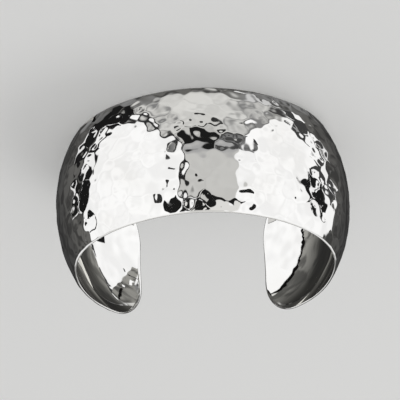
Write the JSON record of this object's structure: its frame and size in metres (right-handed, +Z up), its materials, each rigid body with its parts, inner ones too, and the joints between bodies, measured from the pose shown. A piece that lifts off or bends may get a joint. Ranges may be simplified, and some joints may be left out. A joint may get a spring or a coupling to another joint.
{
  "type": "cuff bracelet",
  "caption": "Open oval cuff bracelet, a broad domed band of hammered, mirror-polished silver with rounded tips, lying on its lower rim.",
  "frame": {"origin": "centre of the bounding box in plan, on the plane that the lower rim rests on", "axes": "+Z up along the wrist, +Y out through the gap between the tips, -Y towards the middle of the dome, +X across the oval's long way"},
  "size_m": [0.0658, 0.0478, 0.0348],
  "materials": {
    "hammered_silver": "mirror-polished silver, hammered outside, smooth inside"
  },
  "bodies": {
    "root": {"cuff_band": "hammered_silver"}
  },
  "joints": []
}
